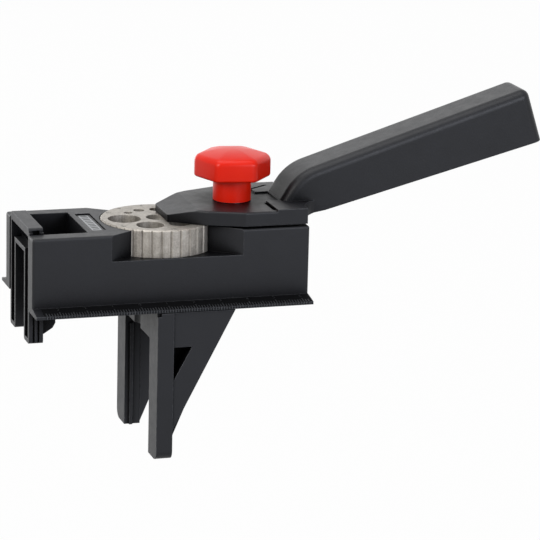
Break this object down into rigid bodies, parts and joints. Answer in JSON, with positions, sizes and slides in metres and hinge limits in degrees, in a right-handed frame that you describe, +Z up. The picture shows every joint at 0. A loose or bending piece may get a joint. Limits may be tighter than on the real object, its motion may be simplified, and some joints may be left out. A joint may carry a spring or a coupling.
{
  "type": "doweling_jig",
  "caption": "Turret doweling jig with sliding fence, stop slider and swinging clamp lever with screw knob",
  "frame": {"origin": "on the drill axis at the housing's base plane, where the guide sits on the board's edge", "axes": "+X along the housing towards the handle, +Y across it towards its back side, +Z up along the drill axis"},
  "size_m": [0.1969, 0.0568, 0.1274],
  "materials": {
    "black_nylon": "satin",
    "dark_nylon": "satin",
    "pale_label": "matte",
    "sintered_steel": "matte",
    "bright_steel": "satin",
    "spring_steel": "satin",
    "red_plastic": "gloss"
  },
  "bodies": {
    "base": {"housing": "black_nylon", "scale_insert": "pale_label", "turret_pivot": "bright_steel", "turret_washer": "bright_steel", "detent_screw": "spring_steel", "detent_spring": "spring_steel", "lift_spring": "spring_steel"},
    "fence": {"fence": "black_nylon"},
    "slider": {"stop_slider": "black_nylon"},
    "turret": {"turret": "sintered_steel"},
    "ball": {"detent_ball": "bright_steel"},
    "lever": {"clamp_lever": "dark_nylon", "lever_bush": "bright_steel", "knob_washer": "bright_steel"},
    "knob": {"knob": "red_plastic", "knob_stud": "bright_steel"},
    "nut": {"clamp_nut": "bright_steel", "clamp_washer": "bright_steel"}
  },
  "joints": [
    {"name": "turret_spin", "type": "hinge", "parent": "base", "child": "turret", "pos_m": [0.0122, 0, 0.0165], "axis": [0, 0, 1], "continuous": true},
    {"name": "fence_slide", "type": "slide", "parent": "base", "child": "fence", "axis": [1, 0, 0], "range_m": [0, 0.012]},
    {"name": "stop_slide", "type": "slide", "parent": "base", "child": "slider", "axis": [1, 0, 0], "range_m": [0, 0.01]},
    {"name": "lever_swing", "type": "hinge", "parent": "base", "child": "lever", "pos_m": [0.0405, 0, 0.0285], "axis": [0, 0, 1], "range_deg": [-90, 90]},
    {"name": "knob_turn", "type": "hinge", "parent": "base", "child": "knob", "pos_m": [0.0405, 0, 0.0338], "axis": [0, 0, 1], "range_deg": [0, 720]},
    {"name": "nut_travel", "type": "slide", "parent": "base", "child": "nut", "axis": [0, 0, -1], "range_m": [0, 0.0021]},
    {"name": "detent_press", "type": "slide", "parent": "base", "child": "ball", "axis": [0, 0, -1], "range_m": [0, 0.0005], "stiffness_N_per_m": 400, "springref_m": -0.0005, "deforming": ["detent_spring"]}
  ],
  "couplings": [
    {"joint": "nut_travel", "follows": "knob_turn", "m_per_rad": 0.00015915}
  ]
}
